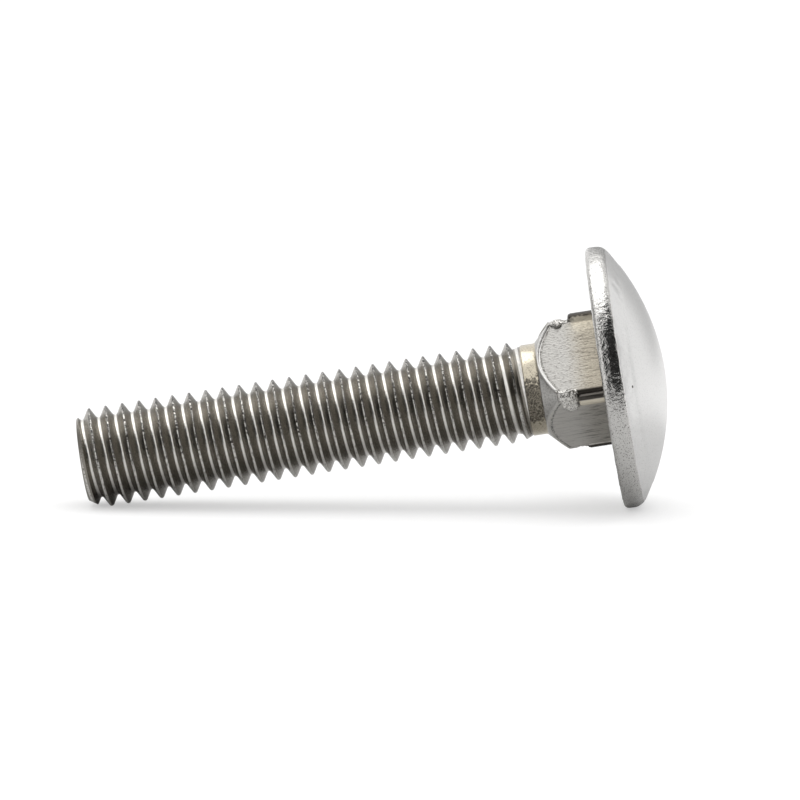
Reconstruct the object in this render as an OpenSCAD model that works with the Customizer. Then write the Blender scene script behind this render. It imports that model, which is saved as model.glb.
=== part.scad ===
// Carriage bolt, one solid: domed head, square neck, plain collar and rolled metric thread.
// It is drawn upright on its own axis, with the bearing face under the head at zero,
// and then laid on its side, as it rests on a table: on the head's rim and on a thread crest.

/* [Length] */
// Length from the bearing face under the head to the end of the thread
length = 31.2; // [22:0.1:60]
// Length of the square neck, its cone included
neck_length = 3.78; // [3.2:0.02:4.6]
// Length of the plain collar between the neck and the thread
collar_length = 0.85; // [0.5:0.05:2]

/* [Head] */
// Diameter of the head
head_d = 15.6; // [13:0.1:20]
// Height of the head, from its bearing face to the top of the dome
head_h = 3.6; // [3:0.05:5]
// Height of the rim below the rounded shoulder
rim_h = 0.6; // [0.4:0.05:1.2]
// Rounding of the edge under the head
under_round = 0.3; // [0.1:0.05:0.35]
// Rounding of the shoulder between the rim and the dome
shoulder_round = 0.9; // [0.3:0.05:1.2]

/* [Square neck] */
// Side of the square
neck_side = 5.7; // [5.52:0.02:6.48]
// Width of the neck across its blunt corners
neck_corner_d = 7.64; // [7.3:0.02:7.8]
// Length of the cone that runs from the collar up to the neck's corners
cone_length = 1.1; // [0.6:0.05:1.6]
// Turn of the square about the bolt's axis, from a flat that faces the table
neck_turn = 48.6; // [0:0.1:90]
// Length of the pressed ridge on each corner, from the bearing face
ridge_length = 1.6; // [0.8:0.05:2]
// Width of each ridge
ridge_w = 0.5; // [0.3:0.05:0.8]
// Width of the neck across two opposite ridges
ridge_d = 8.3; // [8:0.05:9]

/* [Thread] */
// Diameter over the crests
thread_d = 5.93; // [5.8:0.01:6.1]
// Distance from one turn to the next
pitch = 1; // [0.8:0.05:1.1]
// Angle of each flank from a square cut across the axis
flank_angle = 30; // [25:1:35]
// Width of the flat along the crest
crest_flat = 0.1; // [0.06:0.01:0.2]
// Width of the flat in the root
root_flat = 0.19; // [0.1:0.01:0.3]
// Distance from the end face to the first crest, on the side that lies down
first_crest = 0.3; // [0:0.05:0.9]
// Length over which the crests come down to the collar
crest_runout = 0.7; // [0.4:0.05:1.5]
// Length over which the roots rise to the collar
root_runout = 1.3; // [0.5:0.05:2]

/* [Collar and thread end] */
// Diameter of the plain collar
collar_d = 5.4; // [5.1:0.05:5.5]
// Height of the small step from the last turn up to the collar
collar_step = 0.05; // [0.02:0.01:0.1]
// Diameter of the flat end
end_d = 4.9; // [4.75:0.05:5.2]
// Angle of the bevel that cuts the first turn, from the axis
end_bevel = 33; // [20:1:45]
// Diameter of the shallow dish that rolling leaves in the end
dish_d = 3.6; // [2:0.1:4.2]
// Depth of that dish
dish_depth = 0.25; // [0.1:0.05:0.6]

/* [Hidden] */

head_r = head_d / 2;
collar_r = collar_d / 2;
thread_r = thread_d / 2;
end_r = end_d / 2;

// Flank slope, as radius lost for each unit along the axis, and the depth that it gives the thread
flank_slope = 1 / tan(flank_angle);
thread_depth = (pitch - crest_flat - root_flat) / 2 * flank_slope;
root_r = thread_r - thread_depth;
runout_r = collar_r - collar_step;
bevel_slope = tan(end_bevel);

// Heights along the upright axis
end_z = -length;
neck_start_z = -neck_length;
collar_start_z = neck_start_z - collar_length;
rod_in_collar = 0.2;
rod_top_z = collar_start_z + rod_in_collar;
neck_in_head = 0.4;

// The dome is the sphere that touches the shoulder's rounding and reaches the head's height
shoulder_x = head_r - shoulder_round;
dome_rise = head_h - rim_h;
dome_r = (dome_rise ^ 2 + shoulder_x ^ 2 - shoulder_round ^ 2) / (2 * (dome_rise - shoulder_round));
dome_edge_angle = asin(shoulder_x / (dome_r - shoulder_round));

// Steps round a turn of the thread, its rows in one pitch, and the steps along each arc
turn_steps = 32;
pitch_rows = 4;
// Whole pitches of rows that lie past each end, and how near to an end face a row is drawn on it
spare_pitches = 2;
end_snap = 0.012;
dome_steps = 28;
shoulder_steps = 8;
under_steps = 6;
$fn = 128;

// Points on an arc from one angle to another, measured from the outward direction
function arc(centre, r, from, to, steps) =
    [for (i = [0:steps]) let (a = from + (to - from) * i / steps) centre + r * [cos(a), sin(a)]];

// Half outline of the head: bearing face, under rounding, rim, shoulder and dome
function head_outline() = concat(
    [[0, 0]],
    arc([head_r - under_round, under_round], under_round, -90, 0, under_steps),
    arc([shoulder_x, rim_h], shoulder_round, 0, 90 - dome_edge_angle, shoulder_steps),
    [for (i = [1:dome_steps]) let (a = dome_edge_angle * (1 - i / dome_steps))
        [dome_r * sin(a), head_h - dome_r + dome_r * cos(a)]]
);

// Half outline that the square is turned down to: collar, cone and blunt corners
function neck_outline() = [
    [0, collar_start_z],
    [collar_r, collar_start_z],
    [collar_r, neck_start_z],
    [neck_corner_d / 2, neck_start_z + cone_length],
    [neck_corner_d / 2, neck_in_head],
    [0, neck_in_head]
];

// Highest radius that the end bevel and the run-out leave at a height
function crest_limit(z) = min(
    thread_r,
    end_r + (z - end_z) * bevel_slope,
    runout_r + max(0, collar_start_z - z) * (thread_r - runout_r) / crest_runout
);

// Lowest radius at a height: the root, which rises to the collar
function root_limit(z) =
    max(root_r, runout_r - max(0, collar_start_z - z) * (runout_r - root_r) / root_runout);

// Radius of the thread at a height and an angle
function thread_radius(z, a) =
    let (turns = (z - end_z - first_crest) / pitch - a / 360,
         away = abs(turns - round(turns)) * pitch,
         flank = thread_r - max(0, away - crest_flat / 2) * flank_slope)
    max(root_limit(z), min(crest_limit(z), flank));

// Half width of a crest that the bevel or the run-out cuts lower, on its end side or its head side
half_root = (pitch - root_flat) / 2;
function crest_half(z, side) =
    let (cut = thread_r + crest_flat / 2 * flank_slope - end_r - (z - end_z) * bevel_slope,
         bevelled = cut / (flank_slope + side * bevel_slope),
         lowered = crest_flat / 2 + (thread_r - crest_limit(z)) / flank_slope)
    min(half_root, max(crest_flat / 2, z < end_z + length / 2 ? bevelled : lowered));

// Height of a row of the thread's surface. Each pitch has a root's end, a crest and a root's start,
// and every step round the axis lifts them all a little, as the right-hand helix climbs.
function row_z(step, row) =
    let (z = end_z + first_crest + (floor(row / pitch_rows) - spare_pitches + step / turn_steps) * pitch,
         part = row % pitch_rows)
    part == 0 ? z - half_root :
    part == 1 ? z - crest_half(z, -1) :
    part == 2 ? z + crest_half(z, 1) : z + half_root;

// One solid rod with its helical thread, dished at its end
module threaded_rod() {
    rows = pitch_rows * (ceil((rod_top_z - end_z) / pitch) + 2 * spare_pitches);
    z = [for (k = [0:turn_steps - 1]) [for (r = [0:rows - 1]) row_z(k, r)]];
    low = [for (k = [0:turn_steps - 1])
        max([for (r = [0:rows - 1]) if (z[k][r] < end_z + end_snap) r])];
    high = [for (k = [0:turn_steps - 1])
        min([for (r = [0:rows - 1]) if (z[k][r] > rod_top_z - end_snap) r])];
    skin = [for (k = [0:turn_steps - 1]) for (r = [0:rows - 1])
        let (a = 360 * k / turn_steps,
             h = r <= low[k] ? end_z : r >= high[k] ? rod_top_z : z[k][r],
             rad = thread_radius(h, a))
        [rad * cos(a), rad * sin(a), h]];
    dish = [for (k = [0:turn_steps - 1]) let (a = 360 * k / turn_steps)
        [dish_d / 2 * cos(a), dish_d / 2 * sin(a), end_z]];
    dish_at = len(skin);
    end_centre = dish_at + turn_steps;
    top_centre = end_centre + 1;
    points = concat(skin, dish, [[0, 0, end_z + dish_depth], [0, 0, rod_top_z]]);
    // After one whole turn a row continues one pitch higher up in the first column
    function at(k, r) = k < turn_steps ?
        k * rows + max(low[k], min(high[k], r)) :
        max(low[0], min(high[0], r + pitch_rows));
    function faces_of(a, b, c, d) = concat(
        a != d && d != c && a != c ? [[a, d, c]] : [],
        a != c && c != b && a != b ? [[a, c, b]] : []);
    sides = [for (k = [0:turn_steps - 1]) for (r = [0:rows - 2])
        for (f = faces_of(at(k, r), at(k + 1, r), at(k + 1, r + 1), at(k, r + 1))) f];
    ends = [for (k = [0:turn_steps - 1]) let (n = (k + 1) % turn_steps) for (f = [
        [at(k, 0), at(k + 1, 0), dish_at + n],
        [at(k, 0), dish_at + n, dish_at + k],
        [dish_at + k, dish_at + n, end_centre],
        [at(k + 1, rows), at(k, rows), top_centre]]) f];
    polyhedron(points, concat(sides, ends));
}

// Square neck with blunt corners, turned to a cone and a round collar at its lower end
module neck() {
    intersection() {
        rotate([0, 0, neck_turn])
            translate([-neck_side / 2, -neck_side / 2, collar_start_z])
                cube([neck_side, neck_side, neck_in_head - collar_start_z]);
        rotate_extrude()
            polygon(neck_outline());
    }
    ridge_in = neck_corner_d / 2 - ridge_w;
    for (side = [0:3])
        rotate([0, 0, neck_turn + 45 + 90 * side])
            translate([ridge_in, -ridge_w / 2, -ridge_length])
                cube([ridge_d / 2 - ridge_in, ridge_w, ridge_length + neck_in_head]);
}

module head() {
    rotate_extrude()
        polygon(head_outline());
}

// Tilt at which the head's under rounding and a point of the thread stand on one level
function tilt_on(z, r) =
    let (along = under_round - z,
         across = head_r - under_round - r)
    atan(across / along) + asin(under_round / norm([along, across]));

// The bolt lies on the crest that gives the least tilt, one of the first few
crests_tried = 3;
first_row = spare_pitches * pitch_rows;
lying_tilt = min([for (row = [first_row:first_row + crests_tried * pitch_rows]) let (z = row_z(0, row))
    if (z > end_z) tilt_on(z, thread_radius(z, 0))]);
lift = under_round + (head_r - under_round) * cos(lying_tilt) - under_round * sin(lying_tilt);
left_x = end_z * cos(lying_tilt) - thread_radius(end_z, 180) * sin(lying_tilt);
right_x = (head_h - dome_r) * cos(lying_tilt) + dome_r;

module carriage_bolt() {
    color("lightgray")
        translate([-(left_x + right_x) / 2, 0, lift])
            rotate([0, 90 - lying_tilt, 0]) {
                head();
                neck();
                threaded_rod();
            }
}

carriage_bolt();
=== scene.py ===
"""Carriage bolt: a rolled thread, a plain collar, a coned square neck and a domed head in one piece of steel."""

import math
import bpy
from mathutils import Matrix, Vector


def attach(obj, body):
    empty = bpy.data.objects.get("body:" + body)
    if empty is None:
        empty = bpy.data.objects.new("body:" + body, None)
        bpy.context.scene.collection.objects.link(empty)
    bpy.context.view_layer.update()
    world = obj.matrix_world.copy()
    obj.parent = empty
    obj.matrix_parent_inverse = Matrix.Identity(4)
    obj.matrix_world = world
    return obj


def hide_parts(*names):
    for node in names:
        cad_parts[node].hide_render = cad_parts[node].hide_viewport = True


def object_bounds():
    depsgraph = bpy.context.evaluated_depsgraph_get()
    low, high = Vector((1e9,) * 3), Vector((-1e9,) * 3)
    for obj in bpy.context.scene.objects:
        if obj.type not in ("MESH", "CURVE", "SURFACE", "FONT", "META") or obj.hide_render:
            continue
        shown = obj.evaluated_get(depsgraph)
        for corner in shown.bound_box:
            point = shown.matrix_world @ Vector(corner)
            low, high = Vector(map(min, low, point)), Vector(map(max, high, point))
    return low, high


bl_info = {
    "name": "Carriage bolt",
    "version": (1, 0, 0),
    "blender": (4, 5, 0),
    "location": "3D View > Sidebar > Bolt",
    "description": "Models a carriage bolt with its steel finish, and a studio to show it in",
    "category": "Add Mesh",
}

from types import SimpleNamespace

import bpy
from bpy.props import FloatProperty, FloatVectorProperty, IntProperty, PointerProperty
from mathutils import Vector

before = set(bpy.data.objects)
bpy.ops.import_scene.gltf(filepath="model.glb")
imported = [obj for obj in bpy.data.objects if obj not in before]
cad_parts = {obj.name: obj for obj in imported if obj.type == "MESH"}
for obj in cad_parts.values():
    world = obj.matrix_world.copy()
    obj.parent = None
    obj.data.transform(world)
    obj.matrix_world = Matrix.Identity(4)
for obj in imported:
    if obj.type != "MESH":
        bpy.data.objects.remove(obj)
CAD_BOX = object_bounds()

NODE = "carriage_bolt"
MM = 0.001  # modelling is done in millimetres, and the finished bolt is brought to metres
WELD = 5e-4
AXIS = (0, 0, 1)
ORIGIN = (0, 0, 0)
FLOOR_LIGHT = 0.93  # how near the lights bring a white floor to white

# Faces round the neck, along the parts of the head's outline, along a burr and along each way of a card
NECK_STEPS = 256
UNDER_STEPS, RIM_STEPS, SHOULDER_STEPS, DOME_STEPS = 6, 3, 10, 40
BURR_STEPS = 32
CARD_STEPS = 24

# Rings of the bearing face, and the width of the rim that forging marks
BEARING_RINGS = (5.5, 6.6)
MARKED_RIM = 1.3
# Edges from these angles on, in degrees, are rounded, and shaded as sharp
BEVEL_FROM, SHARP_FROM = 25, 32
# Share of a flat's width that its burr takes up
BURR_REACH = 0.95
# Middle of the small pit in the dome
PIT = (-0.08, -6.74, 1.76)

# The corners are 0 behind, 1 on top, 2 in front and 3 below. For each ridge: degrees past its corner, degrees that
# it is pressed aslant, and millimetres that it is torn down. The flat below the front corner has no burr.
RIDGES = ((0, 0, 0), (0, 9, 0), (4.6, 6, 0), (0, 0, 0.2))
BURRED_FLATS = (0, 1, 2)
# Where dies tore the corners, in millimetres: corner, degrees past it, height on the axis, distance out of the
# corner, and half sizes outwards, round the axis and along it
TORN_LUMPS = (
    (0, 0, -2.21, -0.14, (0.26, 0.55, 0.50)),
    (1, 0, -2.30, -0.16, (0.26, 0.60, 0.45)),
    (2, 4.3, -2.06, -0.12, (0.32, 0.68, 0.60)),
)
TORN_NOTCHES = (
    (1, 0, -1.78, 0.10, (0.20, 0.40, 0.14)),
    (3, 0, -1.95, 0.14, (0.28, 0.50, 0.32)),
)
# Waves of the torn surface: share of its height, and grain in millimetres
TORN_WAVES = ((1.0, 0.30), (0.5, 0.11), (0.3, 0.05))

# Width of the floor in metres, and width and lean of the light from above in degrees
FLOOR_SIZE = 8
LAMP_WIDTH, LAMP_LEAN = 56, -11
# Cards on a sphere round the bolt: azimuths from the front to the right, elevations, and the setting with their grey
CARD_RADIUS = 0.6
CARDS = (
    ("front card", (-12, 100), (0, 64), "front_card"),
    ("left card", (-122, -62), (0, 45), "left_card"),
    ("back card", (142, 184), (0, 32), "back_card"),
)
# Sheets on the floor: two corners, height, and the setting with their grey
SHEETS = (
    ("grey paper", ((-0.25, -0.30), (0.06, 0.03)), 0.00004, "paper"),
    ("dark cloth", ((-0.01, -0.55), (0.50, -0.055)), 0.00008, "front_card"),
)


def size(name, description, millimetres):
    return FloatProperty(name=name, description=description, default=millimetres * MM, unit="LENGTH", precision=5)


def angle(name, description, degrees):
    return FloatProperty(name=name, description=description, default=math.radians(degrees), unit="ROTATION")


def tint(name, description, colour):
    return FloatVectorProperty(name=name, description=description, default=colour, subtype="COLOR", min=0, max=1)


def share(name, description, default):
    return FloatProperty(name=name, description=description, default=default, min=0, max=4)


class BoltSizes(bpy.types.PropertyGroup):
    """Sizes of the bolt, upright on its own axis with the bearing face under the head at zero."""

    length: size("Length", "From the bearing face to the end of the thread", 31.2)
    head_d: size("Head diameter", "Over the rim", 15.6)
    head_h: size("Head height", "From the bearing face to the top of the dome", 3.6)
    rim_h: size("Rim height", "Below the rounded shoulder", 0.6)
    under_round: size("Under rounding", "Edge between bearing face and rim", 0.3)
    shoulder_round: size("Shoulder rounding", "Between rim and dome", 0.9)
    rim_wave: size("Forging marks", "Depth of the marks that forging leaves on the rim", 0.05)
    neck_length: size("Neck length", "Square neck with its cone", 3.78)
    neck_side: size("Neck side", "Across the flats of the square", 5.7)
    neck_corner_d: size("Neck corners", "Across the blunt corners", 7.64)
    cone_length: size("Cone length", "From the collar up to the corners", 1.1)
    neck_turn: angle("Neck turn", "Turn of the square from a flat that faces the floor", 48.6)
    edge_break: size("Edge break", "Width of the rounded edge round each flat", 0.16)
    burr_round: size("Burr", "Radius of the rolled-up edge where the cone cuts a flat", 0.09)
    ridge_length: size("Ridge length", "Pressed ridge on each corner", 1.6)
    ridge_w: size("Ridge width", "Across one ridge", 0.5)
    ridge_d: size("Ridge span", "Across two opposite ridges", 8.3)
    ridge_round: size("Ridge rounding", "Along the edges of each ridge", 0.2)
    tear_wave: size("Torn surface", "Height of the torn surface's waves", 0.16)
    collar_length: size("Collar length", "Plain part between neck and thread", 0.85)
    collar_d: size("Collar diameter", "Plain part between neck and thread", 5.4)
    collar_step: size("Collar step", "From the last turn up to the collar", 0.05)
    thread_d: size("Thread diameter", "Over the crests", 5.93)
    pitch: size("Pitch", "From one turn to the next", 1.0)
    crest_round: size("Crest rounding", "Radius along each crest", 0.0866)
    root_round: size("Root rounding", "Radius along each root", 0.1645)
    flank: angle("Flank angle", "Each flank from a square cut", 30)
    first_crest: size("First crest", "From the end face, on the side that lies down", 0.3)
    crest_runout: size("Crest run-out", "Length over which the crests come down to the collar", 0.7)
    root_runout: size("Root run-out", "Length over which the roots rise to the collar", 1.3)
    end_d: size("End diameter", "Flat end, inside the bevel", 4.9)
    end_bevel: angle("End bevel", "Bevel over the first turn, from the axis", 33)
    dish_d: size("Dish diameter", "Shallow dish in the end", 3.6)
    dish_depth: size("Dish depth", "Shallow dish in the end", 0.25)
    turn_steps: IntProperty(name="Turn steps", description="Faces round one turn of the thread", default=72, min=24)
    head_steps: IntProperty(name="Head steps", description="Faces round the head", default=352, min=48)


class BoltFinish(bpy.types.PropertyGroup):
    """Colours of the bare steel, some of which also paint light and shade onto it."""

    dome: tint("Dome", "Satin dome", (0.80, 0.795, 0.785))
    rim: tint("Rim", "Forged rim", (0.66, 0.65, 0.63))
    neck: tint("Neck", "Cold-formed flats", (0.40, 0.39, 0.37))
    heat: tint("Heat tint", "Straw tint next to the head", (0.36, 0.325, 0.26))
    collar: tint("Collar", "Straw tint of the collar", (0.66, 0.60, 0.48))
    # The thread colour paints the flanks dark as shade in the grooves. The crest colour is a painted highlight on
    # crests and roots, and painted light on the neck's lower flat.
    thread: tint("Thread", "Flanks of the rolled thread", (0.27, 0.257, 0.235))
    crest: tint("Crests and roots", "Rubbed bright by the rolling dies", (0.86, 0.84, 0.80))
    # The pit colour also paints shade on the ridge walls and above the burrs, and a dark reflection on the collar
    dark: tint("Pits", "Laps and pits", (0.04, 0.035, 0.03))


class StudioLook(bpy.types.PropertyGroup):
    """Camera and light of the studio."""

    azimuth: angle("Azimuth", "Camera round the bolt, from straight in front", 1.607)
    elevation: angle("Elevation", "Camera above the floor", 7.122)
    distance: size("Distance", "Camera to the middle of the bolt", 629.4)
    focal: FloatProperty(name="Focal length", description="Of the camera, in millimetres", default=479.6)
    aim_right: size("Aim right", "Shift of the picture's middle", 1.669)
    aim_up: size("Aim up", "Shift of the picture's middle", 0.334)
    aim_height: size("Aim height", "Height that the camera looks at", 6.0)
    sky: share("Sky", "Even light from all round", 0.8)
    overhead: share("Overhead light", "Soft light from above", 0.95)
    shadow: share("Floor shadow", "How much of the floor's shadow shows on its white", 0.6)
    paper: share("Grey paper", "Grey that the polish sees under the bolt", 0.66)
    front_card: share("Front card", "Grey that the polish sees in front, to the right", 0.03)
    left_card: share("Left card", "Grey that the polish sees on the left", 0.42)
    back_card: share("Back card", "Grey that the polish sees behind, to the right", 0.50)


def in_millimetres(group):
    """The group's sizes as plain numbers, with lengths in millimetres."""
    numbers = SimpleNamespace()
    for name, prop in group.bl_rna.properties.items():
        if name in group.__annotations__:
            value = getattr(group, name)
            setattr(numbers, name, value / MM if prop.unit == "LENGTH" else value)
    return numbers


def make_active(piece):
    bpy.ops.object.select_all(action="DESELECT")
    piece.select_set(True)
    bpy.context.view_layer.objects.active = piece


def edit(piece):
    make_active(piece)
    bpy.ops.object.mode_set(mode="EDIT")
    bpy.ops.mesh.select_mode(type="VERT")
    bpy.ops.mesh.select_all(action="SELECT")


def leave_edit():
    bpy.ops.object.mode_set(mode="OBJECT")


def select_points(piece, wanted):
    """Selects the points of the piece for which wanted holds, and leaves it in edit mode."""
    edit(piece)
    bpy.ops.mesh.select_all(action="DESELECT")
    leave_edit()
    for point in piece.data.vertices:
        point.select = wanted(point.co)
    bpy.ops.object.mode_set(mode="EDIT")
    bpy.ops.mesh.select_mode(type="VERT")


def new_piece(name):
    piece = bpy.context.object
    piece.name = piece.data.name = name
    return piece


def draw_line(name, points):
    """An open line from point to point, each with its distance from the axis and its height."""
    bpy.ops.object.select_all(action="DESELECT")
    bpy.ops.mesh.primitive_plane_add(size=1, location=ORIGIN)
    piece = new_piece(name)
    edit(piece)
    bpy.ops.mesh.merge(type="CENTER")
    bpy.ops.transform.translate(value=(points[0][0], 0, points[0][1]))
    for (x, z), (next_x, next_z) in zip(points, points[1:]):
        bpy.ops.mesh.extrude_region_move(TRANSFORM_OT_translate={"value": (next_x - x, 0, next_z - z)})
    leave_edit()
    return piece


def turn(name, outline, steps):
    """A closed body turned round the axis from its half outline."""
    piece = draw_line(name, outline)
    edit(piece)
    bpy.ops.mesh.spin(steps=steps, angle=math.tau, center=ORIGIN, axis=AXIS)
    bpy.ops.mesh.select_all(action="SELECT")
    bpy.ops.mesh.remove_doubles(threshold=WELD)
    bpy.ops.mesh.normals_make_consistent(inside=False)
    leave_edit()
    return piece


def apply_modifier(piece, kind, **settings):
    make_active(piece)
    modifier = piece.modifiers.new(kind.title(), kind)
    for name, setting in settings.items():
        setattr(modifier, name, setting)
    bpy.ops.object.modifier_apply(modifier=modifier.name)


def combine(piece, other, operation):
    """Joins, cuts or keeps the common part of two closed bodies, and removes the second."""
    apply_modifier(piece, "BOOLEAN", object=other, operation=operation, solver="EXACT")
    bpy.data.objects.remove(other)


def arc(centre, radius, start, stop, steps):
    """Points from one angle to another, in degrees from the outward direction."""
    angles = [math.radians(start + (stop - start) * i / steps) for i in range(steps + 1)]
    return [(centre[0] + radius * math.cos(a), centre[1] + radius * math.sin(a)) for a in angles]


def open_seam(piece):
    """Places of the points where the surface isn't closed."""
    edit(piece)
    bpy.ops.mesh.select_all(action="DESELECT")
    bpy.ops.mesh.select_non_manifold()
    leave_edit()
    return {tuple(point.co) for point in piece.data.vertices if point.select}


def check_closed(piece):
    seam = open_seam(piece)
    if seam:
        raise RuntimeError(f"{piece.name} has {len(seam)} points on open seams")


def sharp_radii(s):
    """Where the flanks would meet at the crests and at the roots."""
    crest = s.thread_d / 2 + s.crest_round * (1 / math.sin(s.flank) - 1)
    return crest, crest - s.pitch / 2 / math.tan(s.flank)


def make_thread(s):
    """The threaded rod: one turn's profile wound up the axis, then turned down to its bevel and run-out."""
    thread_r, collar_start = s.thread_d / 2, -s.neck_length - s.collar_length
    crest_centre = thread_r - s.crest_round
    root_centre = sharp_radii(s)[1] + s.root_round / math.sin(s.flank)
    spread = 90 - math.degrees(s.flank)
    start = -s.length + s.first_crest - 2.5 * s.pitch
    half_root, crest = 3, 6
    profile = (
        [(2 * root_centre - x, start + z) for x, z in arc((root_centre, 0), s.root_round, 0, spread, half_root)]
        + arc((crest_centre, start + s.pitch / 2), s.crest_round, -spread, spread, crest)
        + [(2 * root_centre - x, start + s.pitch + z)
           for x, z in arc((root_centre, 0), s.root_round, -spread, 0, half_root)]
    )
    rod = draw_line("thread", profile)
    turns = math.ceil((collar_start - start) / s.pitch) + 1
    apply_modifier(
        rod, "SCREW", angle=math.tau, screw_offset=s.pitch, iterations=turns, axis="Z",
        steps=s.turn_steps, render_steps=s.turn_steps,
    )
    edit(rod)
    bpy.ops.mesh.remove_doubles(threshold=WELD)
    leave_edit()
    for end in (start + s.pitch / 2, start + (turns + 0.5) * s.pitch):
        seam = open_seam(rod)
        select_points(rod, lambda p: abs(p.z - end) < 1.01 * s.pitch and tuple(p) in seam)
        bpy.ops.mesh.extrude_edges_move()
        bpy.context.scene.cursor.location = (0, 0, end)
        bpy.ops.mesh.merge(type="CURSOR")
        leave_edit()
    edit(rod)
    bpy.ops.mesh.normals_make_consistent(inside=False)
    leave_edit()
    check_closed(rod)

    end_r, runout_r, overlap = s.end_d / 2, s.collar_d / 2 - s.collar_step, 0.2
    over = thread_r + overlap
    bevel_slope = math.tan(s.end_bevel)
    runout_slope = (thread_r - runout_r) / s.crest_runout
    blank = turn("thread blank", [
        (0, -s.length + s.dish_depth),
        (s.dish_d / 2, -s.length),
        (end_r, -s.length),
        (over, -s.length + (over - end_r) / bevel_slope),
        (over, collar_start - (over - runout_r) / runout_slope),
        (runout_r, collar_start),
        (runout_r, collar_start + overlap),
        (0, collar_start + overlap),
    ], 2 * s.turn_steps)
    combine(rod, blank, "INTERSECT")
    return rod


def make_neck(s):
    """The run-out cone, the collar and the square neck with its pressed ridges."""
    collar_start, neck_start, in_head = -s.neck_length - s.collar_length, -s.neck_length, 0.4
    collar_r, corner_r = s.collar_d / 2, s.neck_corner_d / 2
    runout_r, soft = collar_r - s.collar_step, 0.04
    root_r = sharp_radii(s)[1] + s.root_round
    neck = turn("neck", [
        (0, collar_start - s.root_runout),
        (root_r - 0.01, collar_start - s.root_runout),
        (runout_r, collar_start),
        (collar_r - soft / 2, collar_start + soft / 4),
        (collar_r, collar_start + soft),
        (collar_r, neck_start - 2 * soft),
        (collar_r + soft, neck_start + soft / 2),
        (corner_r, neck_start + s.cone_length),
        (corner_r, in_head),
        (0, in_head),
    ], NECK_STEPS)
    bpy.ops.object.select_all(action="DESELECT")
    height = in_head - collar_start + s.root_runout + 1
    bpy.ops.mesh.primitive_cube_add(
        size=1, location=(0, 0, in_head - height / 2 + 0.5), rotation=(0, 0, s.neck_turn),
        scale=(s.neck_side, s.neck_side, height),
    )
    combine(neck, new_piece("flats"), "INTERSECT")
    apply_modifier(
        neck, "BEVEL", width=s.edge_break, segments=2, limit_method="ANGLE", angle_limit=math.radians(BEVEL_FROM),
    )
    for flat in BURRED_FLATS:
        combine(neck, make_burr(s, s.neck_turn + math.radians(90 * flat), collar_r + soft, corner_r), "UNION")
    for corner, (past, slant, torn_down) in enumerate(RIDGES):
        way = corner_way(s, corner) + math.radians(past)
        ridge = make_ridge(s, corner_r, s.ridge_d / 2 - torn_down, way, math.radians(slant), in_head)
        combine(neck, ridge, "UNION")
    for tears, operation in ((TORN_LUMPS, "UNION"), (TORN_NOTCHES, "DIFFERENCE")):
        for corner, past, height, out, half_sizes in tears:
            way = corner_way(s, corner) + math.radians(past)
            combine(neck, make_tear(s, way, corner_r + out, height, half_sizes), operation)
    return neck


def make_burr(s, way, cone_start_r, cone_end_r):
    """The rolled-up edge where the cone cuts a flat, an arch from corner to corner."""
    flat = s.neck_side / 2
    reach = BURR_REACH * math.sqrt(cone_end_r**2 - flat**2)
    arch = []
    for i in range(BURR_STEPS + 1):
        across = reach * (2 * i / BURR_STEPS - 1)
        up = (math.hypot(flat, across) - cone_start_r) / (cone_end_r - cone_start_r)
        arch.append((across, -s.neck_length + up * s.cone_length))
    burr = draw_line("burr", arch)
    edit(burr)
    bpy.ops.transform.rotate(value=math.pi / 2, orient_axis="Z", center_override=ORIGIN)
    bpy.ops.transform.translate(value=(flat, 0, 0))
    bpy.ops.transform.rotate(value=-way, orient_axis="Z", center_override=ORIGIN)
    leave_edit()
    make_active(burr)
    bpy.ops.object.convert(target="CURVE")
    burr.data.bevel_depth, burr.data.bevel_resolution, burr.data.use_fill_caps = s.burr_round, 3, True
    bpy.ops.object.convert(target="MESH")
    edit(burr)
    bpy.ops.mesh.remove_doubles(threshold=WELD)
    bpy.ops.mesh.normals_make_consistent(inside=False)
    leave_edit()
    return burr


def corner_way(s, corner):
    return s.neck_turn + math.radians(45 + 90 * corner)


def make_ridge(s, corner_r, outer, way, slant, in_head):
    """One pressed ridge, a block with rounded edges that stands out of a corner, aslant."""
    inner = corner_r - s.ridge_w
    middle = (inner + outer) / 2
    bpy.ops.object.select_all(action="DESELECT")
    bpy.ops.mesh.primitive_cube_add(
        size=1, location=(middle * math.cos(way), middle * math.sin(way), (in_head - s.ridge_length) / 2),
        rotation=(0, 0, way + slant),
        scale=(outer - inner, s.ridge_w + s.ridge_round, s.ridge_length + in_head),
    )
    ridge = new_piece("ridge")
    bpy.ops.object.transform_apply()
    apply_modifier(ridge, "BEVEL", width=s.ridge_round, segments=2)
    return ridge


def make_tear(s, way, radius, height, half_sizes):
    """A torn lump of metal on a corner, rough all over."""
    bpy.ops.object.select_all(action="DESELECT")
    bpy.ops.mesh.primitive_ico_sphere_add(
        subdivisions=5, radius=1, location=(radius * math.cos(way), radius * math.sin(way), height),
        rotation=(0, 0, way), scale=half_sizes,
    )
    tear = new_piece("tear")
    bpy.ops.object.transform_apply()
    for wave, grain in TORN_WAVES:
        waves = bpy.data.textures.new("torn surface", "CLOUDS")
        waves.noise_scale, waves.noise_depth = grain, 1
        apply_modifier(tear, "DISPLACE", texture=waves, texture_coords="LOCAL", strength=s.tear_wave * wave)
    return tear


def dome_radius(s):
    """Radius of the dome that touches the shoulder's rounding and reaches the head's height."""
    shoulder, rise = s.head_d / 2 - s.shoulder_round, s.head_h - s.rim_h
    return (rise**2 + shoulder**2 - s.shoulder_round**2) / (2 * (rise - s.shoulder_round))


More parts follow.
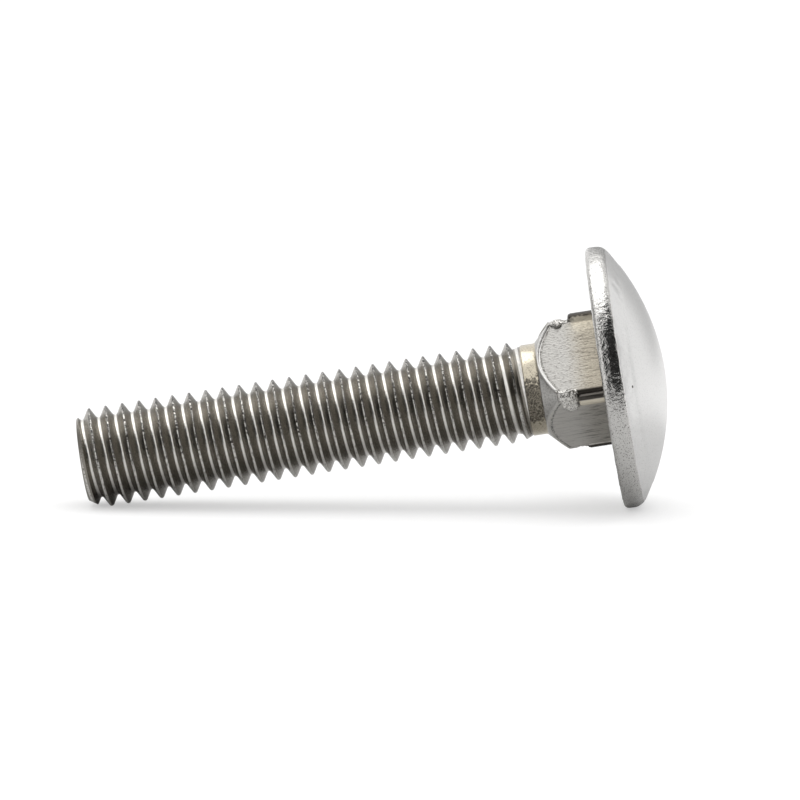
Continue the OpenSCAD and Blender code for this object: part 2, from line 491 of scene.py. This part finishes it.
def make_head(s):
    """The domed head, turned from its outline, with the marks of forging on its rim."""
    head_r = s.head_d / 2
    shoulder, dome_r = head_r - s.shoulder_round, dome_radius(s)
    edge = math.degrees(math.asin(shoulder / (dome_r - s.shoulder_round)))
    dome = arc((0, s.head_h - dome_r), dome_r, 90 - edge, 90, DOME_STEPS)
    rim = [s.under_round + (s.rim_h - s.under_round) * i / RIM_STEPS for i in range(1, RIM_STEPS)]
    outline = (
        [(0, 0)] + [(ring, 0) for ring in BEARING_RINGS]
        + arc((head_r - s.under_round, s.under_round), s.under_round, -90, 0, UNDER_STEPS)
        + [(head_r, z) for z in rim]
        + arc((shoulder, s.rim_h), s.shoulder_round, 0, 90 - edge, SHOULDER_STEPS)
        + dome[1:-1] + [(0, s.head_h)]
    )
    head = turn("head", outline, s.head_steps)
    select_points(head, lambda p: math.hypot(p.x, p.y) > head_r - MARKED_RIM)
    bpy.ops.object.vertex_group_assign_new()
    leave_edit()
    marks = bpy.data.textures.new("forging marks", "CLOUDS")
    marks.noise_scale, marks.noise_depth = 0.45, 2
    apply_modifier(head, "DISPLACE", texture=marks, texture_coords="LOCAL", strength=s.rim_wave,
                   mid_level=1.0, vertex_group=head.vertex_groups[0].name)
    head.vertex_groups.clear()
    return head


def lying(s):
    """Tilt of the axis, and where the bearing face's centre comes to be, as the bolt lies on its rim and a crest."""
    head_r, thread_r = s.head_d / 2, s.thread_d / 2
    first = -s.length + s.first_crest
    cut_r = s.end_d / 2 + s.first_crest * math.tan(s.end_bevel)
    contacts = [(first, cut_r), (first + s.pitch, thread_r)]

    def tilt_on(z, r):
        along, across = s.under_round - z, head_r - s.under_round - r
        return math.atan(across / along) + math.asin(s.under_round / math.hypot(along, across))

    tilt = min(tilt_on(z, r) for z, r in contacts)
    lift = s.under_round + (head_r - s.under_round) * math.cos(tilt) - s.under_round * math.sin(tilt)
    dome_r = dome_radius(s)
    right = (s.head_h - dome_r) * math.cos(tilt) + dome_r
    return tilt, Vector((CAD_BOX[1].x / MM - right, 0, lift))


class Number:
    """A number on its way through a shader, with the signs of arithmetic."""

    def __init__(self, shader, socket):
        self.shader, self.socket = shader, socket

    def __add__(self, other):
        return self.shader.math("ADD", self, other)

    def __sub__(self, other):
        return self.shader.math("SUBTRACT", self, other)

    def __rsub__(self, other):
        return self.shader.math("SUBTRACT", other, self)

    def __mul__(self, other):
        return self.shader.math("MULTIPLY", self, other)

    def __truediv__(self, other):
        return self.shader.math("DIVIDE", self, other)

    __radd__, __rmul__ = __add__, __mul__


class Shader:
    """The nodes of one material or world."""

    def __init__(self, owner):
        owner.use_nodes = True
        self.tree = owner.node_tree
        self.tree.nodes.clear()

    def node(self, kind, settings=None, values=None):
        """A node of this kind, with its settings first and then the values or links of its sockets."""
        node = self.tree.nodes.new("ShaderNode" + kind)
        for name, setting in (settings or {}).items():
            setattr(node, name, setting)
        for name, value in (values or {}).items():
            if isinstance(value, Number):
                value = value.socket
            if isinstance(value, bpy.types.NodeSocket):
                self.tree.links.new(value, node.inputs[name])
            else:
                node.inputs[name].default_value = value
        return node

    def math(self, operation, *values):
        return Number(self, self.node("Math", {"operation": operation}, dict(enumerate(values))).outputs[0])

    def smooth(self, value, start, stop):
        """0 up to start and 1 from stop on, with a soft step between them."""
        node = self.node("MapRange", {"interpolation_type": "SMOOTHSTEP"},
                         {"Value": value, "From Min": start, "From Max": stop})
        return Number(self, node.outputs[0])

    def fade(self, value, start, stop):
        """1 up to start and 0 from stop on."""
        return 1 - self.smooth(value, start, stop)

    def noise(self, place, scale, detail=2.0, roughness=0.5):
        node = self.node("TexNoise", None, {"Vector": place, "Scale": scale, "Detail": detail, "Roughness": roughness})
        return Number(self, node.outputs[0])

    def stretched(self, place, scale):
        return self.node("VectorMath", {"operation": "MULTIPLY"}, {0: place, 1: scale}).outputs[0]

    def distance(self, place, other):
        return Number(self, self.node("VectorMath", {"operation": "DISTANCE"}, {0: place, 1: other}).outputs["Value"])

    def mix(self, factor, first, second):
        """From the first colour to the second."""
        node = self.node("Mix", {"data_type": "RGBA"}, {0: factor, 6: first, 7: second})
        return node.outputs[2]


def find_places(sh, s, tilt, bearing):
    """Place of a point in the bolt's own millimetres, patterns of the steel there, and masks of the bolt's parts."""
    place = sh.node("Mapping", {"vector_type": "TEXTURE"}, {
        "Vector": sh.node("TexCoord").outputs["Object"],
        "Location": bearing * MM, "Rotation": (0, math.pi / 2 - tilt, 0), "Scale": (MM, MM, MM),
    }).outputs[0]
    parts = sh.node("SeparateXYZ", None, {0: place})
    x, y, z = (Number(sh, parts.outputs[i]) for i in range(3))
    at = SimpleNamespace(place=place, x=x, y=y, z=z, radius=sh.math("SQRT", x * x + y * y))

    at.grain = sh.noise(place, 6.0, 3.0, 0.6)
    at.fine = sh.noise(place, 13.0, 2.0, 0.6)
    at.broad = sh.noise(place, 1.1, 2.0, 0.5)
    at.streaks = sh.noise(sh.stretched(place, (11.0, 11.0, 1.0)), 1.0, 3.0, 0.6)
    at.leather = sh.noise(sh.stretched(place, (11.0, 11.0, 6.0)), 1.0, 3.0, 0.6)

    neck_start, corner_r = -s.neck_length, s.neck_corner_d / 2
    collar_start = neck_start - s.collar_length
    at.on_head = sh.smooth(z, -0.02, 0.0)
    at.on_dome = sh.smooth(z + (at.broad - 0.5) * 0.1, 1.19, 1.27)
    at.above_collar = sh.smooth(z, neck_start, neck_start + 0.1)
    at.above_thread = sh.smooth(z, collar_start - 0.05, collar_start + 0.02)
    at.on_rim = at.on_head * (1 - at.on_dome)
    at.on_neck = at.above_collar * (1 - at.on_head)
    at.torn = at.on_neck * sh.smooth(at.radius, corner_r - 0.14, corner_r - 0.06) * sh.fade(z, -1.65, -1.55)
    return at


def thread_colour(sh, s, at, colours):
    """Flanks painted dark as shade in the grooves, crests and roots painted bright as highlights, and black laps along
    the crests, denser on the side that faces up as painted light.
    """
    turns = sh.math("ARCTAN2", at.y, at.x) / math.tau
    from_crest = sh.math("PINGPONG", at.z + (s.length - s.first_crest) - turns * s.pitch, s.pitch / 2)
    off_end = sh.smooth(at.radius, s.end_d / 2 + 0.02, s.end_d / 2 + 0.08)
    off_dish = sh.smooth(at.radius, s.dish_d / 2, s.dish_d / 2 + 0.2)
    off_face = sh.smooth(at.z, 0.02 - s.length, 0.05 - s.length)
    crest = sh.fade(from_crest, 0.05, 0.10) * off_end
    root = sh.smooth(from_crest, s.pitch / 2 - 0.12, s.pitch / 2 - 0.06) * off_face * off_dish
    # Painted shade: the flanks are dark to stand in for the shade of the grooves
    flank = sh.mix(at.streaks * 0.5, colours.thread, colours.heat)
    # Painted highlights: the crest and root bands take the bright crest colour
    thread = sh.mix(sh.math("MAXIMUM", crest, root), flank, colours.crest)
    # Black laps along the crests, more of them on the side that faces up: real laps, placed by painted light where the
    # light from above shows them
    return sh.mix(crest * sh.smooth(at.fine - at.x * 0.03, 0.49, 0.55), thread, colours.dark)


def collar_colour(sh, s, at, colours):
    """Straw tint with specks, and a mottled dark patch in front that is painted dark reflection."""
    collar_r = s.collar_d / 2
    # Painted reflection: a dark patch on the side that faces the front, where the dark front reflects, mottled like a
    # stain
    stain_and_dark_reflection = sh.smooth(at.x * 0.15 - at.y + (at.grain - 0.5) * 1.2, collar_r - 0.42, collar_r - 0.22)
    collar = sh.mix(sh.smooth(at.fine, 0.54, 0.64) * 0.5, colours.collar, colours.dark)
    return sh.mix(stain_and_dark_reflection * (0.6 + sh.smooth(at.fine, 0.42, 0.58) * 0.35), collar, colours.dark)


def neck_colour(sh, s, at, colours):
    """Brushed flats with burrs, tinted towards the head, the cone, the pressed ridges and the torn corners, with
    painted light on the lower flat, painted shade above the burrs and on the ridge walls, and a painted highlight on
    the front ridge's ledge.
    """
    corner_r, collar_r, flat, ridge_r = s.neck_corner_d / 2, s.collar_d / 2, s.neck_side / 2, s.ridge_d / 2
    turn_x, turn_y = math.cos(s.neck_turn), math.sin(s.neck_turn)
    across, along = at.x * turn_x + at.y * turn_y, at.y * turn_x - at.x * turn_y
    out = sh.math("MAXIMUM", sh.math("ABSOLUTE", across), sh.math("ABSOLUTE", along))
    above_cone = at.z + s.neck_length - (at.radius - collar_r) * (s.cone_length / (corner_r - collar_r))
    to_head = sh.smooth(at.z + (at.streaks - 0.5) * 0.8, -2.2, -0.6)

    on_flat = at.on_neck * sh.smooth(out, flat - 0.12, flat - 0.05)
    on_low_flat = on_flat * sh.smooth(0 - along, flat - 0.03, flat - 0.01)
    burr = on_flat * sh.fade(above_cone, 0.08, 0.14) * (1 - on_low_flat)
    # Painted shade: a dark speckled line just above each burr, in the crease between burr and flat
    painted_groove_shade = on_flat * sh.smooth(above_cone, 0.10, 0.14) * sh.fade(above_cone, 0.2, 0.3)
    cone = at.on_neck * (1 - on_flat) * sh.fade(above_cone, 0.0, 0.04)

    # The ridges have a painted highlight on a ledge in front, walls darkened as painted shade (partly soot on the top
    # ridge) and a straw tint on top
    pressed = at.on_neck * sh.smooth(at.z, -s.ridge_length - 0.02, -s.ridge_length + 0.02)
    on_top = sh.fade(at.x + (at.grain - 0.5) * 1.2, -3.8, -2.9) * sh.smooth(at.z + (at.grain - 0.5) * 0.8, -1.6, -1.2)
    outside = sh.smooth(at.radius, ridge_r - 0.12, ridge_r - 0.07)
    painted_ledge_highlight = pressed * outside * sh.smooth(at.x, 0.56, 0.66) * sh.fade(at.x, 3.0, 3.4)
    straw = pressed * on_top * sh.smooth(at.x + (at.grain - 0.5) * 0.2, -4.02, -3.92)
    painted_shade_wall = pressed * sh.smooth(at.radius, corner_r - 0.1, corner_r - 0.02) * (1 - painted_ledge_highlight) * (1 - straw)

    neck = colours.neck
    for amount, colour in (
        (cone * 0.55, colours.rim),
        # Painted light: the lower flat faces the shaded floor and is painted in the bright crest colour, with less
        # heat tint and fewer dark marks
        (on_low_flat * 0.9, colours.crest),
        (to_head * 0.9 - on_low_flat * to_head * 0.5, colours.heat),
        (sh.smooth(at.leather, 0.5, 0.72) * (0.5 - on_low_flat * 0.4), colours.dark),
        (sh.smooth(at.streaks, 0.5, 0.66) * (to_head * 0.4 + on_low_flat * 0.2 + cone * 0.3), colours.dark),
        # Painted shade above the burrs
        (painted_groove_shade * sh.smooth(at.fine, 0.45, 0.55) * 0.8, colours.dark),
        (burr, colours.rim),
        (straw * 0.6, colours.collar),
        # Painted shade: the ridge walls are painted dark; on the top ridge this is partly soot
        (painted_shade_wall * 0.95, colours.dark),
        # Painted highlight: a bright ledge along the front ridge
        (painted_ledge_highlight * 0.8, colours.collar),
        (at.torn * sh.smooth(at.fine, 0.46, 0.54), colours.crest),
        (at.torn * sh.fade(at.fine, 0.38, 0.46) * 0.8, colours.dark),
    ):
        neck = sh.mix(amount, neck, colour)
    return neck


def head_colour(sh, at, colours):
    """Satin dome with a small pit, and a speckled rim."""
    pit = sh.fade(sh.distance(at.place, PIT), 0.05, 0.12)
    specks = sh.math("MAXIMUM", sh.smooth(at.fine, 0.54, 0.68) * 0.16, pit)
    rim = sh.mix(sh.smooth(at.fine, 0.54, 0.66) * 0.7, colours.rim, colours.dark)
    return sh.mix(at.on_dome, rim, sh.mix(specks, colours.dome, colours.dark))


def steel(s, finish, tilt, bearing):
    """Bare steel with a finish for each part of the bolt, told apart by the place along and round the axis, some
    finishes with painted light and shade.
    """
    material = bpy.data.materials.new("bolt steel")
    sh = Shader(material)
    at = find_places(sh, s, tilt, bearing)
    colours = SimpleNamespace(**{name: (*getattr(finish, name), 1) for name in finish.__annotations__})
    shank = sh.mix(at.above_thread, thread_colour(sh, s, at, colours), collar_colour(sh, s, at, colours))
    shank = sh.mix(at.above_collar, shank, neck_colour(sh, s, at, colours))
    colour = sh.mix(at.on_head, shank, head_colour(sh, at, colours))
    rough = (
        at.on_rim * (0.10 + at.grain * 0.10) + at.on_dome * 0.34 + at.on_neck * 0.28
        + (1 - at.above_collar) * (0.15 + at.grain * 0.14)
    )
    height = (
        at.on_rim * at.grain * 0.6 + at.on_dome * at.fine * 0.02
        + at.on_neck * (at.leather * 0.35 + at.streaks * 0.1) + at.torn * at.fine * 0.8
        + (1 - at.above_thread) * (at.streaks * 0.25 + at.fine * 0.3)
    )
    bump = sh.node("Bump", None, {"Strength": 1.0, "Distance": 0.06 * MM, "Height": height})
    surface = sh.node("BsdfPrincipled", None, {
        "Base Color": colour, "Metallic": 1.0, "Roughness": rough, "Normal": bump.outputs[0],
    })
    sh.node("OutputMaterial", None, {"Surface": surface.outputs[0]})
    return material


class BOLT_OT_bolt(bpy.types.Operator):
    """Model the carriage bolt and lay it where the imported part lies"""

    bl_idname = "mesh.add_carriage_bolt"
    bl_label = "Carriage bolt"
    bl_options = {"REGISTER", "UNDO"}

    def execute(self, context):
        s = in_millimetres(context.scene.bolt_sizes)
        bolt = make_head(s)
        combine(bolt, make_neck(s), "UNION")
        combine(bolt, make_thread(s), "UNION")
        tilt, bearing = lying(s)
        edit(bolt)
        bpy.ops.mesh.remove_doubles(threshold=WELD)
        bpy.ops.mesh.dissolve_degenerate(threshold=WELD)
        bpy.ops.mesh.quads_convert_to_tris()
        leave_edit()
        make_active(bolt)
        bolt.name = bolt.data.name = "bolt"
        bolt.rotation_euler = (0, math.pi / 2 - tilt, 0)
        bolt.location = bearing * MM
        bolt.scale = (MM, MM, MM)
        bpy.ops.object.transform_apply(location=True, rotation=True, scale=True)
        bpy.ops.object.shade_smooth_by_angle(angle=math.radians(SHARP_FROM))
        apply_modifier(bolt, "WEIGHTED_NORMAL", keep_sharp=True, weight=60)
        bolt.data.materials.clear()
        bolt.data.materials.append(steel(s, context.scene.bolt_finish, tilt, bearing))
        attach(bolt, "root")
        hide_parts(NODE)
        return {"FINISHED"}


class BOLT_OT_studio(bpy.types.Operator):
    """Set up the pale floor, the soft light, the grey cards and the camera"""

    bl_idname = "scene.add_bolt_studio"
    bl_label = "Studio"
    bl_options = {"REGISTER", "UNDO"}

    def execute(self, context):
        look = context.scene.studio_look
        make_floor(look)
        for name, corners, height, grey in SHEETS:
            make_sheet(name, corners, height, getattr(look, grey))
        for name, azimuths, elevations, grey in CARDS:
            make_card(name, azimuths, elevations, getattr(look, grey))
        make_light(context, look)
        make_camera(context, look)
        context.scene.view_settings.view_transform = "Standard"
        return {"FINISHED"}


def seen_ray(sh):
    """1 for rays that show a surface as itself: straight from the camera, or in polish or glass."""
    ray = sh.node("LightPath")
    seen = sh.math("MAXIMUM", ray.outputs["Is Camera Ray"], ray.outputs["Is Glossy Ray"])
    return sh.math("MAXIMUM", seen, ray.outputs["Is Transmission Ray"])


def make_floor(look):
    bpy.ops.object.select_all(action="DESELECT")
    bpy.ops.mesh.primitive_plane_add(size=FLOOR_SIZE, location=ORIGIN)
    floor = new_piece("floor")
    material = bpy.data.materials.new("pale floor")
    sh = Shader(material)
    lit = sh.node("BsdfDiffuse", None, {"Color": (0.6, 0.6, 0.6, 1)})
    shadow = sh.node("BsdfDiffuse", None, {"Color": (look.shadow, look.shadow, look.shadow, 1)})
    white = sh.node("Emission", None, {"Strength": 1.02 - look.shadow * FLOOR_LIGHT})
    shown = sh.node("AddShader", None, {0: white.outputs[0], 1: shadow.outputs[0]})
    surface = sh.node("MixShader", None, {0: seen_ray(sh), 1: lit.outputs[0], 2: shown.outputs[0]})
    sh.node("OutputMaterial", None, {"Surface": surface.outputs[0]})
    floor.data.materials.append(material)


def make_card(name, azimuths, elevations, grey):
    """A card that shines evenly in its grey, and is only seen in the bolt's polish."""
    (first, last), (low, high) = ([math.radians(a) for a in pair] for pair in (azimuths, elevations))
    flat, lift = CARD_RADIUS * math.cos(low), CARD_RADIUS * math.sin(low)
    bpy.ops.object.select_all(action="DESELECT")
    bpy.ops.mesh.primitive_plane_add(size=1, location=ORIGIN)
    card = new_piece(name)
    edit(card)
    bpy.ops.mesh.merge(type="CENTER")
    bpy.ops.transform.translate(value=(flat * math.sin(first), -flat * math.cos(first), lift))
    for sweep, axis in ((high - low, (math.cos(first), math.sin(first), 0)), (first - last, AXIS)):
        bpy.ops.mesh.select_all(action="SELECT")
        bpy.ops.mesh.spin(steps=CARD_STEPS, angle=sweep, center=ORIGIN, axis=axis)
    leave_edit()
    only_in_polish(card, "Emission", grey)


def make_sheet(name, corners, height, grey):
    """A sheet that takes the bolt's shadow, and is only seen in its polish."""
    bpy.ops.object.select_all(action="DESELECT")
    (left, front), (right, back) = corners
    bpy.ops.mesh.primitive_plane_add(size=1, location=((left + right) / 2, (front + back) / 2, height))
    bpy.ops.transform.resize(value=(right - left, back - front, 1))
    only_in_polish(new_piece(name), "BsdfDiffuse", grey)


def only_in_polish(card, shader, grey):
    """Gives a card or sheet its grey, and hides it from all but the polish."""
    material = bpy.data.materials.new(card.name)
    sh = Shader(material)
    surface = sh.node(shader, None, {"Color": (grey, grey, grey, 1)})
    sh.node("OutputMaterial", None, {"Surface": surface.outputs[0]})
    card.data.materials.append(material)
    card.visible_camera = card.visible_diffuse = card.visible_shadow = card.visible_transmission = False


def make_light(context, look):
    world = bpy.data.worlds.new("studio")
    context.scene.world = world
    sh = Shader(world)
    strength = look.sky + seen_ray(sh) * (1 - look.sky)
    background = sh.node("Background", None, {"Color": (1, 1, 1, 1), "Strength": strength})
    sh.node("OutputWorld", None, {"Surface": background.outputs[0]})
    bpy.ops.object.light_add(type="SUN", location=(0, 0, 0.5))
    lamp = bpy.context.object
    lamp.name = lamp.data.name = "overhead light"
    lamp.data.energy = look.overhead
    lamp.data.angle = math.radians(LAMP_WIDTH)
    lamp.rotation_euler = (math.radians(LAMP_LEAN), 0, 0)


def make_camera(context, look):
    a, e = look.azimuth, look.elevation
    back = Vector((math.sin(a) * math.cos(e), -math.cos(a) * math.cos(e), math.sin(e)))
    right = Vector((math.cos(a), math.sin(a), 0))
    up = back.cross(right)
    aim = Vector((0, 0, look.aim_height)) + right * look.aim_right + up * look.aim_up
    bpy.ops.object.camera_add(location=aim + back * look.distance)
    camera = bpy.context.object
    camera.name = camera.data.name = "camera"
    camera.rotation_euler = (-back).to_track_quat("-Z", "Y").to_euler()
    camera.data.lens, camera.data.sensor_width = look.focal, 36
    camera.data.clip_start, camera.data.clip_end = 0.01, 20
    context.scene.camera = camera


class BOLT_PT_panel(bpy.types.Panel):
    """Buttons and settings of the bolt and its studio"""

    bl_label = "Carriage bolt"
    bl_idname = "BOLT_PT_panel"
    bl_space_type = "VIEW_3D"
    bl_region_type = "UI"
    bl_category = "Bolt"

    def draw(self, context):
        for operator in (BOLT_OT_bolt, BOLT_OT_studio):
            self.layout.operator(operator.bl_idname)
        for group in (context.scene.bolt_sizes, context.scene.bolt_finish, context.scene.studio_look):
            box = self.layout.box()
            for name in group.__annotations__:
                box.prop(group, name)


CLASSES = (BoltSizes, BoltFinish, StudioLook, BOLT_OT_bolt, BOLT_OT_studio, BOLT_PT_panel)


def register():
    for item in CLASSES:
        bpy.utils.register_class(item)
    bpy.types.Scene.bolt_sizes = PointerProperty(type=BoltSizes)
    bpy.types.Scene.bolt_finish = PointerProperty(type=BoltFinish)
    bpy.types.Scene.studio_look = PointerProperty(type=StudioLook)


def unregister():
    del bpy.types.Scene.bolt_sizes, bpy.types.Scene.bolt_finish, bpy.types.Scene.studio_look
    for item in reversed(CLASSES):
        bpy.utils.unregister_class(item)


def main():
    register()
    bpy.ops.mesh.add_carriage_bolt()
    bpy.ops.scene.add_bolt_studio()


if __name__ == "__main__":
    main()
